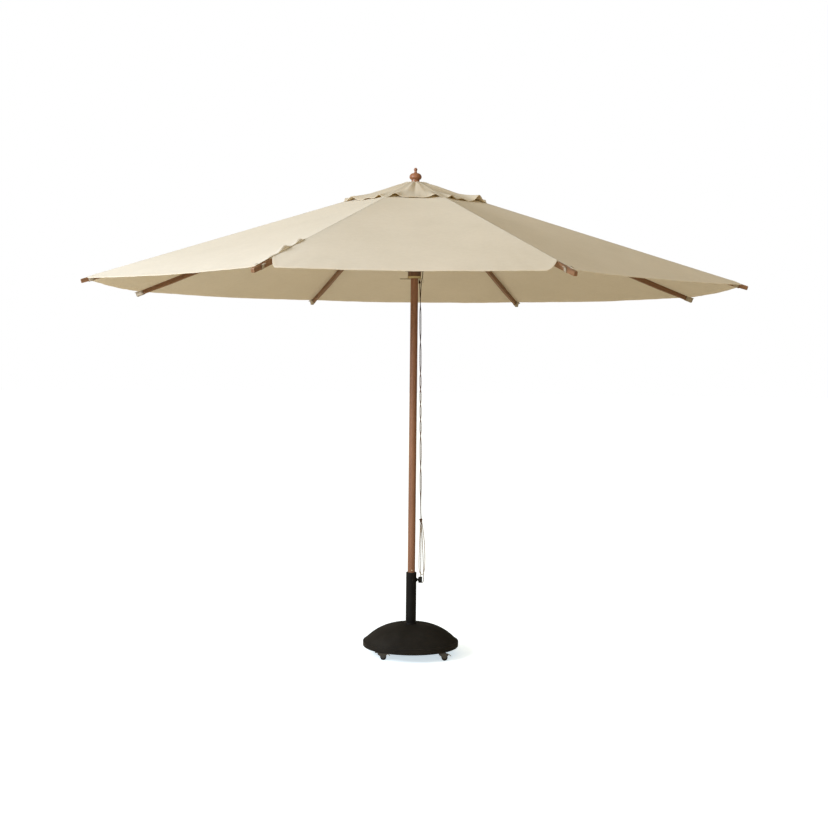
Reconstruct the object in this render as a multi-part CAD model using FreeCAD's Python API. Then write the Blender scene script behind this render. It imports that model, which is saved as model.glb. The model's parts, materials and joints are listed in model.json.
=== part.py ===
"""Patio umbrella, 4 m across, on a wheeled dome base. Millimetres, +Z up.

The origin is on the floor, on the axis of the pole. The camera side of the object is -Y.
The canopy is an octagon with eight ribs. Each rib hinges on the crown, and a strut of the
same length as the crown-to-bracket distance joins it to the runner, so that every joint of
the fold turns in a fixed ratio.
"""
import FreeCAD, Part
import math
import os

from FreeCAD import Vector

# canopy
RIBS = 8
SECTOR = 360 / RIBS
FIRST_AZIMUTH = SECTOR / 2
TIP_RADIUS = 2000          # wooden rib tips
TIP_Z = 2243               # underside of the fabric at the rib tips
RISE = 0.3284              # rise of the canopy for each mm towards the pole, along a rib
FABRIC = 1.2
PANEL_INNER = 300          # edge of the wind vent, along a rib
PANEL_OUTER = 1985
PANEL_GAP = 0.3            # each petal stops this far from the middle of its gore
NOTCH_IN, NOTCH_BESIDE = 120, 90   # the cut corner: back along the rib, and along the hem
CAP_INNER, CAP_OUTER = 66, 462
CAP_TOP_Z = 2886.5
CAP_HOLE = 12.6
CAP_LIFT_OUTER = 3         # cap above the line of the canopy

# fold linkage, in the upright plane of a rib
HINGE_R, HINGE_Z = 50, 2862
LINK = 713                 # crown pin to bracket pin, and bracket pin to runner pin
LINK_ANGLE = math.radians(20.4)
PIN_R, PIN_FIT = 3.5, 0.2
RIB_WIDTH, RIB_UP, RIB_DOWN = 18, 18.3, 11.7
RIB_TIP_DOWN = 5
RIB_TAPER_FROM = 1780
STRUT_WIDTH, STRUT_HALF = 16, 10
SLOT_PLAY = 0.4

# pole and crown
POLE_R, POLE_FOOT, POLE_TOP = 23, 59, 2864
CROWN_R, CROWN_FOOT_R, CROWN_FOOT, CROWN_TOP = 66, 56, 2806, 2876
CROWN_SLOT_R = 37.2
SHEAVE_X, SHEAVE_Z, SHEAVE_R, SHEAVE_ROOT, SHEAVE_WIDTH = 41.5, 2830, 11.8, 6, 8
FINIAL_Z = 2888

# runner and its locking pin
RUNNER_FOOT, FERRULE_TOP, FLANGE_FOOT, RUNNER_TOP = 2309, 2321, 2352, 2400
RUNNER_R, FLANGE_R, RUNNER_BORE, FERRULE_R = 40.5, 62, 24.3, 41.5
RUNNER_SLOT_R, RUNNER_SLOT_FLOOR = 39.4, 2354
ROPE_HOLE = (30.5, 12.5)
ROPE_NOTCH = (50.5, 6)
LOCK_R, LOCK_Z, LOCK_LEFT, LOCK_RIGHT = 4, 2304.5, -89, 52

# base
DOME_R, DOME_TOP, DOME_FOOT, RIM_TOP = 294, 189, 52, 86
PLATE_R, PLATE_TOP = 274, 58
TUBE_R, TUBE_BORE, TUBE_TOP = 32, 30, 502
SLEEVE_BORE, SLEEVE_R, SLEEVE_FOOT, SLEEVE_TOP = 23.5, 29.8, 400, 506
CLAMP_Z, SCREW_R, PAD_R = 459, 5, 6
BOSS_R, BOSS_X = 11, 38
KNOB_X, KNOB_END, KNOB_R, KNOB_LOBES = 40.5, 67, 20, 6

# casters, each in its own frame with the swivel axis at x = 0, y = 0
CASTER_AT = 185
CASTER_PLATE_FOOT = 49
TRAIL, WHEEL_R, WHEEL_HALF, AXLE_R = 21, 19, 8, 3
FORK_HALF, FORK_SHEET = 12, 2.5
PEDAL_X, PEDAL_Z = 38, 37

ROPE_D = 5
# the hoist rope from its knot under the runner, over the sheave, down to the tied loops
# and back up: straight stretches hang plumb with the weight of the loops
ROPE = [
    (30.5, 12.5, 2293), (30.5, 12.5, 2420), (32.5, 0, 2839), (50.5, 0, 2839),
    (50.5, 6, 2410), (50.5, 6, 2350), (50, 11, 2314), (42, 10, 2284), (40, -2, 2238),
    (54, -4, 856), (66, -5, 792), (78, -6, 700), (83, -6, 600), (82, -6, 530),
    (74, -6, 493), (56, -6, 493), (47, -6, 520), (46, -6, 580), (48, -7, 670),
    (52, -8, 770), (50, -7, 826), (58, 6, 826), (56, 16, 775), (57, 25, 680), (58, 28, 560),
    (58, 29, 480), (60, 29, 437), (75, 29, 437), (76, 29, 480), (73, 28, 560),
    (67, 22, 680), (60, 11, 780), (54, 3.5, 856), (33.5, 4, 2238), (32, 4, 2286),
]


def cylinder(radius, start, direction, length):
    return Part.makeCylinder(radius, length, Vector(*start), Vector(*direction))


def block(low, high):
    size = [b - a for a, b in zip(low, high)]
    return Part.makeBox(*size, Vector(*low))


def closed_face(start, *steps):
    """A face in the XZ plane. A step is a point for a line, or (middle, end) for an arc."""
    edges, here = [], start

    def at(point):
        return Vector(point[0], 0, point[1])

    for step in steps + (start,):
        if isinstance(step[0], tuple):
            middle, end = step
            edges.append(Part.Arc(at(here), at(middle), at(end)).toShape())
        else:
            end = step
            if end != here:
                edges.append(Part.makeLine(at(here), at(end)))
        here = end
    return Part.Face(Part.Wire(edges))


def turned(start, *steps):
    return closed_face(start, *steps).revolve(Vector(0, 0, 0), Vector(0, 0, 1), 360)


def slab(half_width, start, *steps):
    """A flat outline in the XZ plane, given a thickness along Y."""
    face = closed_face(start, *steps)
    face.translate(Vector(0, -half_width, 0))
    return face.extrude(Vector(0, 2 * half_width, 0))


def prism(corners, height):
    """A flat panel through points in space, given a height along Z."""
    wire = Part.makePolygon([Vector(*c) for c in corners + corners[:1]])
    return Part.Face(wire).extrude(Vector(0, 0, height))


def spun(shape, azimuth):
    turned_copy = shape.copy()
    turned_copy.rotate(Vector(0, 0, 0), Vector(0, 0, 1), azimuth)
    return turned_copy


def around(shape):
    return [spun(shape, FIRST_AZIMUTH + SECTOR * i) for i in range(RIBS)]


def moved(shape, x, y, z=0):
    moved_copy = shape.copy()
    moved_copy.translate(Vector(x, y, z))
    return moved_copy


def group(*solids):
    return Part.makeCompound([s for shape in solids for s in shape.Solids])


def canopy_z(along_rib):
    """Underside of the fabric at a distance from the pole, measured along a rib."""
    return TIP_Z + RISE * (TIP_RADIUS - along_rib)


SLOPE = math.atan(RISE)


def on_rib(u, v):
    """A point of the rib's plane: u out along the rib from its hinge, v square to it."""
    return (HINGE_R + u * math.cos(SLOPE) + v * math.sin(SLOPE),
            HINGE_Z - u * math.sin(SLOPE) + v * math.cos(SLOPE))


BRACKET_U = LINK * math.cos(LINK_ANGLE - SLOPE)
BRACKET_V = -LINK * math.sin(LINK_ANGLE - SLOPE)
RIB_LENGTH = (TIP_RADIUS - HINGE_R) / math.cos(SLOPE) - RIB_UP * math.tan(SLOPE)
RUNNER_PIN_Z = HINGE_Z - 2 * LINK * math.sin(LINK_ANGLE)
RIVETS = (BRACKET_U - 11, BRACKET_U + 11)
RIVET_V, RIVET_R = -4, 2


def across(radius, x, z, half_length):
    """A pin along Y through a point of the rib's plane."""
    return cylinder(radius, (x, -half_length, z), (0, 1, 0), 2 * half_length)


def rib():
    """One rib, in the plane of azimuth 0."""
    end = RIB_LENGTH
    nose = RIB_DOWN * math.sqrt(0.5)
    shape = slab(
        RIB_WIDTH / 2,
        on_rib(3, RIB_UP),
        on_rib(end - 6, RIB_UP),
        (on_rib(end - 1.8, RIB_UP - 1.8), on_rib(end, RIB_UP - 6)),
        on_rib(end, -RIB_TIP_DOWN + 4),
        (on_rib(end - 1.2, -RIB_TIP_DOWN + 1.2), on_rib(end - 4, -RIB_TIP_DOWN)),
        on_rib(RIB_TAPER_FROM, -RIB_DOWN),
        on_rib(0, -RIB_DOWN),
        (on_rib(-nose, -nose), on_rib(-RIB_DOWN, 0)),
    )
    shape = shape.cut(across(PIN_R + PIN_FIT, HINGE_R, HINGE_Z, RIB_WIDTH))
    for u in RIVETS:
        shape = shape.cut(across(RIVET_R, *on_rib(u, RIVET_V), RIB_WIDTH))
    return shape


def rib_bracket():
    """Folded steel bracket under a rib, with its rivets and the strut's pin."""
    half = RIB_WIDTH / 2
    u0, u1 = BRACKET_U - 18, BRACKET_U + 18
    outline = (
        on_rib(u0, RIVET_V + 7),
        on_rib(u1, RIVET_V + 7),
        on_rib(u1, -RIB_DOWN - 2),
        on_rib(BRACKET_U + 8, BRACKET_V),
        (on_rib(BRACKET_U, BRACKET_V - 8), on_rib(BRACKET_U - 8, BRACKET_V)),
        on_rib(u0, -RIB_DOWN - 2),
    )
    outer = slab(half + FORK_SHEET, *outline)
    rib_room = slab(half, on_rib(u0 - 5, RIB_UP), on_rib(u1 + 5, RIB_UP),
                    on_rib(u1 + 5, -RIB_DOWN), on_rib(u0 - 5, -RIB_DOWN))
    strut_room = slab(half, on_rib(u0 - 5, -RIB_DOWN - FORK_SHEET),
                      on_rib(u1 + 5, -RIB_DOWN - FORK_SHEET),
                      on_rib(u1 + 5, BRACKET_V - 30), on_rib(u0 - 5, BRACKET_V - 30))
    bracket = outer.cut(rib_room).cut(strut_room)
    long_half = half + FORK_SHEET + 1.5
    pins = [across(PIN_R, *on_rib(BRACKET_U, BRACKET_V), long_half)]
    pins += [across(RIVET_R, *on_rib(u, RIVET_V), long_half) for u in RIVETS]
    for pin in pins:
        bracket = bracket.cut(pin)
    return group(bracket, *pins)


def strut():
    """One strut, from its bracket pin down to its runner pin, in the plane of azimuth 0."""
    top = on_rib(BRACKET_U, BRACKET_V)
    foot = (HINGE_R, RUNNER_PIN_Z)
    out, up = math.cos(LINK_ANGLE), math.sin(LINK_ANGLE)

    def beside(centre, along, over):
        return (centre[0] + along * out - over * up, centre[1] + along * up + over * out)

    half = STRUT_HALF
    shape = slab(
        STRUT_WIDTH / 2,
        beside(foot, 0, half),
        (beside(foot, -half, 0), beside(foot, 0, -half)),
        beside(top, 0, -half),
        (beside(top, half, 0), beside(top, 0, half)),
    )
    for pivot in (top, foot):
        shape = shape.cut(across(PIN_R + PIN_FIT, *pivot, STRUT_WIDTH))
    return shape


def half_gore(side):
    """Half a gore beside the rib of azimuth 0, as a flat panel with its corner cut off."""
    mid = math.radians(SECTOR / 2) * side

    def middle_of_gore(along_rib):
        reach = along_rib * math.cos(mid)
        return Vector(reach * math.cos(mid) + PANEL_GAP * math.sin(mid) * side,
                      reach * math.sin(mid) - PANEL_GAP * math.cos(mid) * side,
                      canopy_z(along_rib))

    def over_rib(along_rib):
        return Vector(along_rib, 0, canopy_z(along_rib))

    hem = middle_of_gore(PANEL_OUTER) - over_rib(PANEL_OUTER)
    corners = [
        over_rib(PANEL_INNER),
        over_rib(PANEL_OUTER - NOTCH_IN),
        over_rib(PANEL_OUTER) + hem * (NOTCH_BESIDE / hem.Length),
        middle_of_gore(PANEL_OUTER),
        middle_of_gore(PANEL_INNER),
    ]
    return prism(corners, FABRIC / math.cos(SLOPE))


def canopy_panel():
    """The fabric over one rib, out to the middle of the gore on each side."""
    return group(half_gore(-1), half_gore(1))


def octagon(radius, z):
    angles = [math.radians(FIRST_AZIMUTH + SECTOR * i) for i in range(RIBS)]
    return [(radius * math.cos(angle), radius * math.sin(angle), z) for angle in angles]


def vent_cap():
    """The small top layer over the wind vent, with the flat ring held under the finial."""
    outer = octagon(CAP_OUTER, canopy_z(CAP_OUTER) + CAP_LIFT_OUTER - FABRIC)
    inner = octagon(CAP_INNER, CAP_TOP_Z - FABRIC)
    sides = [prism([inner[i - 1], outer[i - 1], outer[i], inner[i]], FABRIC)
             for i in range(RIBS)]
    hole = cylinder(CAP_HOLE, (0, 0, CAP_TOP_Z - 10), (0, 0, 1), 20)
    return group(*sides, prism(inner, FABRIC).cut(hole))


def pole():
    shape = turned((0, POLE_FOOT), (POLE_R - 2, POLE_FOOT), (POLE_R, POLE_FOOT + 2),
                   (POLE_R, POLE_TOP), (0, POLE_TOP))
    return shape.cut(cylinder(LOCK_R + 0.3, (-50, 0, LOCK_Z), (1, 0, 0), 100))


def crown():
    """Turned wooden crown, with a slot for each rib and one for the rope's sheave."""
    shape = turned(
        (POLE_R, CROWN_FOOT), (CROWN_FOOT_R - 4, CROWN_FOOT),
        ((CROWN_FOOT_R - 1.2, CROWN_FOOT + 1.2), (CROWN_FOOT_R, CROWN_FOOT + 4)),
        (CROWN_FOOT_R, 2832), (CROWN_R, 2840), (CROWN_R, CROWN_TOP - 4),
        ((CROWN_R - 1.2, CROWN_TOP - 1.2), (CROWN_R - 4, CROWN_TOP)),
        (6, CROWN_TOP), (6, POLE_TOP), (POLE_R, POLE_TOP),
    )
    half = RIB_WIDTH / 2 + SLOT_PLAY
    slot = block((CROWN_SLOT_R, -half, CROWN_FOOT - 5), (CROWN_R + 5, half, CROWN_TOP + 5))
    for cut in around(slot):
        shape = shape.cut(cut)
    for pin in crown_pin_solids():
        shape = shape.cut(pin)
    half = SHEAVE_WIDTH / 2 + 0.4
    sheave_slot = block((27.5, -half, CROWN_FOOT - 5), (60, half, SHEAVE_Z + SHEAVE_R + 4))
    return shape.cut(sheave_slot)


def crown_pin_solids():
    """The rib pins, and the short axle of the rope's sheave last."""
    pin = across(PIN_R, HINGE_R, HINGE_Z, RIB_WIDTH / 2 + 6)
    return around(pin) + [across(2, SHEAVE_X, SHEAVE_Z, 6)]


def sheave():
    half, lip = SHEAVE_WIDTH / 2, 0.8
    side = closed_face((2.2, -half), (SHEAVE_R, -half), (SHEAVE_R, -half + lip),
                       ((SHEAVE_ROOT, 0), (SHEAVE_R, half - lip)), (SHEAVE_R, half),
                       (2.2, half))
    wheel = side.revolve(Vector(0, 0, 0), Vector(0, 0, 1), 360)
    wheel.rotate(Vector(0, 0, 0), Vector(1, 0, 0), 90)
    return moved(wheel, SHEAVE_X, 0, SHEAVE_Z)


def finial():
    """Turned wooden finial: flange, bulb, neck and ball, on a spigot through the cap."""
    z = FINIAL_Z
    return turned(
        (0, CROWN_TOP), (12, CROWN_TOP), (12, z), (25, z),
        ((26.5, z + 2.5), (25, z + 5)), (24, z + 19),
        ((32, z + 23.5), (37, z + 33)), ((33.5, z + 47.5), (13, z + 59)),
        ((9, z + 63), (8, z + 68)), (8, z + 73),
        ((10.5, z + 82), (3, z + 91.6)), (0, z + 92),
    )


def runner():
    """Turned wooden runner: a neck below, and a flange with a slot for each strut."""
    shape = turned(
        (RUNNER_BORE, RUNNER_FOOT + 2), (RUNNER_R - 2, RUNNER_FOOT + 2),
        (RUNNER_R - 2, FERRULE_TOP), (RUNNER_R, FERRULE_TOP),
        (RUNNER_R, FLANGE_FOOT - 8), ((RUNNER_R + 2.3, FLANGE_FOOT - 2.3),
                                      (RUNNER_R + 8, FLANGE_FOOT)),
        (FLANGE_R - 4, FLANGE_FOOT), ((FLANGE_R - 1.2, FLANGE_FOOT + 1.2),
                                      (FLANGE_R, FLANGE_FOOT + 4)),
        (FLANGE_R, RUNNER_TOP - 20), (52, RUNNER_TOP - 4),
        ((50.8, RUNNER_TOP - 1.2), (48, RUNNER_TOP)), (RUNNER_BORE, RUNNER_TOP),
    )
    half = STRUT_WIDTH / 2 + SLOT_PLAY
    slot = block((RUNNER_SLOT_R, -half, RUNNER_SLOT_FLOOR), (FLANGE_R + 5, half, RUNNER_TOP + 5))
    for cut in around(slot):
        shape = shape.cut(cut)
    for pin in runner_pins().Solids:
        shape = shape.cut(pin)
    hole = cylinder(3.5, (*ROPE_HOLE, RUNNER_FOOT - 5), (0, 0, 1), 110)
    x, y = ROPE_NOTCH
    notch = cylinder(3.6, (x, y, FLANGE_FOOT - 12), (0, 0, 1), 70)
    mouth = block((x, y - 2.8, FLANGE_FOOT - 12), (FLANGE_R + 5, y + 2.8, RUNNER_TOP + 5))
    return shape.cut(hole).cut(notch).cut(mouth)


def runner_pins():
    return group(*around(across(PIN_R, HINGE_R, RUNNER_PIN_Z, STRUT_WIDTH / 2 + 6)))


def runner_ferrule():
    """Brass band round the foot of the runner, turned in under it."""
    band = turned(
        (RUNNER_BORE + 1, RUNNER_FOOT), (FERRULE_R - 1, RUNNER_FOOT),
        (FERRULE_R, RUNNER_FOOT + 1), (FERRULE_R, FERRULE_TOP), (RUNNER_R - 2, FERRULE_TOP),
        (RUNNER_R - 2, RUNNER_FOOT + 2), (RUNNER_BORE + 1, RUNNER_FOOT + 2),
    )
    return band.cut(cylinder(3.5, (*ROPE_HOLE, RUNNER_FOOT - 5), (0, 0, 1), 30))


def locking_pin():
    """Steel pin through the pole, which carries the runner, with its pull ring."""
    length = LOCK_RIGHT - LOCK_LEFT
    rod = turned((0, 0), (LOCK_R - 2, 0), (LOCK_R, 4), (LOCK_R, length), (0, length))
    rod.rotate(Vector(0, 0, 0), Vector(0, 1, 0), 90)
    rod = moved(rod, LOCK_LEFT, 0, LOCK_Z)
    eye = cylinder(1.6, (LOCK_RIGHT - 5, -10, LOCK_Z), (0, 1, 0), 20)
    ring = Part.makeTorus(11, 1.2, Vector(LOCK_RIGHT - 5, 0, LOCK_Z - 11), Vector(0, 0, 1))
    ring.rotate(Vector(LOCK_RIGHT - 5, 0, LOCK_Z - 11), Vector(1, 0, 0), 90)
    return group(rod.cut(eye), ring)


def base_dome():
    """Cast dome on an upright rim, recessed underneath for the steel plate."""
    return turned(
        (TUBE_R + 0.2, PLATE_TOP), (PLATE_R + 0.3, PLATE_TOP), (PLATE_R + 0.3, DOME_FOOT),
        (DOME_R - 5, DOME_FOOT), ((DOME_R - 1.5, DOME_FOOT + 1.5), (DOME_R, DOME_FOOT + 5)),
        (DOME_R, RIM_TOP - 5), ((DOME_R - 1.5, RIM_TOP - 1.5), (DOME_R - 5, RIM_TOP)),
        (DOME_R - 9, RIM_TOP), ((185, 160), (40, DOME_TOP)),
        (TUBE_R + 0.2, DOME_TOP),
    )


def base_plate():
    return cylinder(PLATE_R, (0, 0, DOME_FOOT), (0, 0, 1), PLATE_TOP - DOME_FOOT)


def base_tube():
    """Steel tube on the plate, with the collar on the dome and the boss for the clamp."""
    tube = turned(
        (TUBE_BORE, PLATE_TOP), (TUBE_R, PLATE_TOP), (TUBE_R, DOME_TOP), (39, DOME_TOP),
        ((37, DOME_TOP + 4), (TUBE_R, DOME_TOP + 8)), (TUBE_R, TUBE_TOP), (TUBE_BORE, TUBE_TOP),
    )
    boss = cylinder(BOSS_R, (0, 0, CLAMP_Z), (1, 0, 0), BOSS_X)
    boss = boss.cut(cylinder(TUBE_R - 1, (0, 0, CLAMP_Z - 20), (0, 0, 1), 40))
    return tube.fuse(boss).cut(cylinder(SCREW_R + 0.2, (0, 0, CLAMP_Z), (1, 0, 0), 60))


def reducer_sleeve():
    """Plastic sleeve that centres the pole in the wider tube."""
    sleeve = turned(
        (SLEEVE_BORE, SLEEVE_FOOT), (SLEEVE_R, SLEEVE_FOOT), (SLEEVE_R, TUBE_TOP),
        (TUBE_R, TUBE_TOP), (TUBE_R, SLEEVE_TOP - 1.5), (TUBE_R - 1.5, SLEEVE_TOP),
        (SLEEVE_BORE + 1.5, SLEEVE_TOP), (SLEEVE_BORE, SLEEVE_TOP - 1.5),
    )
    return sleeve.cut(cylinder(PAD_R + 0.5, (0, 0, CLAMP_Z), (1, 0, 0), 60))


def clamp_knob():
    """Lobed knob moulded on its screw."""
    inner, thickness = KNOB_X + 3, KNOB_END - KNOB_X - 3
    knob = cylinder(KNOB_R - 3, (inner, 0, CLAMP_Z), (1, 0, 0), thickness)
    knob = knob.fuse(cylinder(10, (KNOB_X, 0, CLAMP_Z), (1, 0, 0), thickness))
    for i in range(KNOB_LOBES):
        turn = 2 * math.pi * i / KNOB_LOBES
        reach = KNOB_R - 6
        at = (inner, reach * math.cos(turn), CLAMP_Z + reach * math.sin(turn))
        knob = knob.fuse(cylinder(6, at, (1, 0, 0), thickness))
    screw = cylinder(SCREW_R, (26.4, 0, CLAMP_Z), (1, 0, 0), inner + 12 - 26.4)
    return group(knob.removeSplitter().cut(screw), screw)


def clamp_pad():
    return cylinder(PAD_R, (POLE_R + 0.2, 0, CLAMP_Z), (1, 0, 0), 26.4 - POLE_R - 0.2)


def caster_places():
    return [(sx * CASTER_AT, sy * CASTER_AT) for sy in (-1, 1) for sx in (-1, 1)]


def caster_plates():
    """Four screwed plates, each with the seat of its caster's swivel."""
    solids = []
    for x, y in caster_places():
        solids.append(block((x - 29, y - 29, CASTER_PLATE_FOOT), (x + 29, y + 29, DOME_FOOT)))
        for dx in (-22, 22):
            for dy in (-22, 22):
                head = cylinder(4, (x + dx, y + dy, CASTER_PLATE_FOOT - 2), (0, 0, 1), 2)
                solids.append(head)
    return group(*solids)


def caster_fork():
    """Swivel head, pressed fork and the wheel's axle."""
    head = turned((0, 44), (17, 44), (15, 46), (15, 48.7), (0, 48.7))
    fork = block((-15, -FORK_HALF, 41), (TRAIL + 6, FORK_HALF, 44))
    side = closed_face((-13, 41), (-13, 36), (TRAIL - 8, 16), ((TRAIL, 11), (TRAIL + 8, 17)),
                       (PEDAL_X + 4, 32), ((PEDAL_X + 5, PEDAL_Z), (PEDAL_X, PEDAL_Z + 5)),
                       (TRAIL, 44), (-13, 44))
    for y in (-FORK_HALF, FORK_HALF - FORK_SHEET):
        leg = side.copy()
        leg.translate(Vector(0, y, 0))
        fork = fork.fuse(leg.extrude(Vector(0, FORK_SHEET, 0)))
    axle = across(AXLE_R, TRAIL, WHEEL_R, FORK_HALF + 2)
    pedal_pin = across(1.8, PEDAL_X, PEDAL_Z, FORK_HALF + 1)
    fork = fork.fuse(head).removeSplitter()
    return group(fork.cut(axle).cut(pedal_pin), axle, pedal_pin)


def caster_wheel():
    """Tyre and hub in one moulding, with a crowned tread."""
    half = WHEEL_HALF
    side = closed_face((AXLE_R + 0.2, -half), (8, -half), (9.5, -half + 2), (13, -half + 2),
                       (14.5, -half), (WHEEL_R - 3, -half), (WHEEL_R - 0.6, -half + 2.4),
                       ((WHEEL_R, 0), (WHEEL_R - 0.6, half - 2.4)), (WHEEL_R - 3, half),
                       (14.5, half), (13, half - 2), (9.5, half - 2), (8, half),
                       (AXLE_R + 0.2, half))
    wheel = side.revolve(Vector(0, 0, 0), Vector(0, 0, 1), 360)
    wheel.rotate(Vector(0, 0, 0), Vector(1, 0, 0), 90)
    return moved(wheel, TRAIL, 0, WHEEL_R)


def brake_pedal():
    """Bent lever on the fork, which locks the wheel when it is trodden down."""
    lever = slab(
        7, (PEDAL_X, PEDAL_Z + 3.4), (PEDAL_X + 14, PEDAL_Z), (PEDAL_X + 24, PEDAL_Z - 9),
        (PEDAL_X + 22, PEDAL_Z - 11), (PEDAL_X + 12.6, PEDAL_Z - 3), (PEDAL_X, PEDAL_Z - 3.4),
        ((PEDAL_X - 3.4, PEDAL_Z), (PEDAL_X, PEDAL_Z + 3.4)),
    )
    return lever.cut(across(2, PEDAL_X, PEDAL_Z, FORK_HALF))


def tube_along(points, diameter):
    """A round tube: straight runs joined by tangent arcs as large as the runs allow."""
    points = [Vector(*p) for p in points]
    edges, here = [], points[0]
    for before, corner, after in zip(points, points[1:], points[2:]):
        back, on = before - corner, after - corner
        run = min(back.Length, on.Length)
        back.normalize()
        on.normalize()
        half_turn = (math.pi - back.getAngle(on)) / 2
        tangent = 0.45 * run
        radius = tangent / math.tan(half_turn)
        print(f"rope turn {math.degrees(2 * half_turn):5.1f} deg, radius {radius:8.1f}")
        start, end = corner + back * tangent, corner + on * tangent
        inward = (back + on).normalize()
        middle = corner + inward * (radius / math.cos(half_turn) - radius)
        edges.append(Part.makeLine(here, start))
        edges.append(Part.Arc(start, middle, end).toShape())
        here = end
    edges.append(Part.makeLine(here, points[-1]))
    wire = Part.Wire(edges)
    section = Part.Wire(Part.makeCircle(diameter / 2, points[0], points[1] - points[0]))
    tube = wire.makePipeShell([section], True, False)
    expected = math.pi * diameter ** 2 / 4 * wire.Length
    print(f"rope length {wire.Length:.0f} mm, volume {tube.Volume / expected:.4f} of expected")
    return tube


def model():
    """Every node of the umbrella by name."""
    nodes = {
        "base_dome": base_dome(),
        "base_plate": base_plate(),
        "base_tube": base_tube(),
        "reducer_sleeve": reducer_sleeve(),
        "caster_plates": caster_plates(),
        "clamp_knob": clamp_knob(),
        "clamp_pad": clamp_pad(),
        "pole": pole(),
        "crown": crown(),
        "crown_pins": group(*crown_pin_solids()),
        "sheave": sheave(),
        "finial": finial(),
        "runner": runner(),
        "runner_pins": runner_pins(),
        "runner_ferrule": runner_ferrule(),
        "locking_pin": locking_pin(),
        "vent_cap": vent_cap(),
        "hoist_rope": tube_along(ROPE, ROPE_D),
    }
    for name, shape in (("rib", rib()), ("strut", strut()), ("rib_bracket", rib_bracket()),
                        ("canopy_panel", canopy_panel())):
        for i, copy in enumerate(around(shape)):
            nodes[f"{name}_{i + 1}"] = copy
    for i, (x, y) in enumerate(caster_places()):
        nodes[f"caster_fork_{i + 1}"] = moved(caster_fork(), x, y)
        nodes[f"caster_wheel_{i + 1}"] = moved(caster_wheel(), x, y)
        if y < 0:
            nodes[f"brake_pedal_{i + 1}"] = moved(brake_pedal(), x, y)
    return nodes


os.makedirs("parts", exist_ok=True)
for node, shape in model().items():
    if not shape.isValid():
        print(f"{node} isn't valid")
    shape.exportStep(f"parts/{node}.step")
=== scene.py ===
"""The looks of a 4 m wooden patio umbrella on a wheeled dome base, built round its CAD frame.

Metres, +Z up, origin on the floor under the pole. The viewer stands on the -Y side.
A rib has an azimuth, and a gore is the cloth from one rib to the next one anticlockwise.
"""
import bpy
import json
import math

import numpy as np
from mathutils import Matrix, Vector


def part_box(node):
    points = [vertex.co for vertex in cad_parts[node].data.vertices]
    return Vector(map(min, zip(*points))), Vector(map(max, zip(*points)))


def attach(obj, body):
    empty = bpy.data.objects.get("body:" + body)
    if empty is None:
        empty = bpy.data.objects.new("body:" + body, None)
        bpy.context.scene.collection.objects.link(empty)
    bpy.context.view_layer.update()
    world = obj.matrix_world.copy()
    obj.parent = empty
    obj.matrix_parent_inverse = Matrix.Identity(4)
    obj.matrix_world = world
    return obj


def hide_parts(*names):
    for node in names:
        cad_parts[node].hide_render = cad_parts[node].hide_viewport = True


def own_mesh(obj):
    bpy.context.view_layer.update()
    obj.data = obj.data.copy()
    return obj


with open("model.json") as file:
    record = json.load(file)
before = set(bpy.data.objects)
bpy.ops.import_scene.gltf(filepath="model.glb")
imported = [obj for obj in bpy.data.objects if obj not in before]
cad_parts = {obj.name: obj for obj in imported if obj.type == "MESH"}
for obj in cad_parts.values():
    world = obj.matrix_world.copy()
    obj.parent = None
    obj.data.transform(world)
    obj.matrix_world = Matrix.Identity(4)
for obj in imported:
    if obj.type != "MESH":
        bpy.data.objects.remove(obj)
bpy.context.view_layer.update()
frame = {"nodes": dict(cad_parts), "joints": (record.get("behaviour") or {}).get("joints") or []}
NODES = frame["nodes"]
JOINTS = {joint["name"]: joint for joint in frame["joints"]}

# ---------------------------------------------------------------- sizes
RIBS = 8
SECTOR = math.tau / RIBS
FIRST = SECTOR / 2                 # azimuth of rib 1
INNER, OUTER = 0.300, 1.985        # the cloth's reach along a rib, from the pole's axis
FABRIC = 0.0012                    # thickness of the cloth in the CAD frame
PANEL_LOW, PANEL_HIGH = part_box("canopy_panel_1")
RISE = (PANEL_HIGH.z - PANEL_LOW.z - FABRIC) / (OUTER - INNER)
SLOPE = math.atan(RISE)
HINGE = Vector(JOINTS["canopy_fold"]["pos_m"])
HINGE_R, HINGE_Z = HINGE.xy.length, HINGE.z
RIB_TOP = 0.0183                   # top of a rib above its hinge, square to the rib
SHELL = 0.0010                     # thickness of the cloth drawn here
HEM_WIDTH = 0.030
NEAR_LEFT = 5                      # index of the rib with the loose seam, and of the front gore

CAP_LOW, CAP_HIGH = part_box("vent_cap")
CAP_INNER, CAP_OUTER = 0.066, 0.462
PATCH_R, SPIGOT_R = 0.084, 0.0128  # the cap's round patch, and the finial's spigot through it


# ---------------------------------------------------------------- camera, light and floor
def add_camera():
    """A portrait lens above eye height, in front of the umbrella, tipped a little down."""
    distance, height, offset = 8.167, 1.8286, 0.006
    pitch, roll = math.radians(2.438), math.radians(0.615)
    data = bpy.data.cameras.new("camera")
    data.sensor_width = 36
    data.lens = 57.97
    camera = bpy.data.objects.new("camera", data)
    bpy.context.scene.collection.objects.link(camera)
    turn = Matrix.Rotation(math.radians(90) - pitch, 4, "X") @ Matrix.Rotation(roll, 4, "Z")
    camera.matrix_world = Matrix.Translation((offset, -distance, height)) @ turn
    bpy.context.scene.camera = camera


def add_softbox(name, at, aim, size, power, colour):
    """A large soft square light."""
    data = bpy.data.lights.new(name, "AREA")
    data.energy, data.size, data.color = power, size, colour
    light = bpy.data.objects.new(name, data)
    light.location = at
    light.rotation_euler = (Vector(at) - Vector(aim)).to_track_quat("Z", "Y").to_euler()
    bpy.context.scene.collection.objects.link(light)


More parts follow.
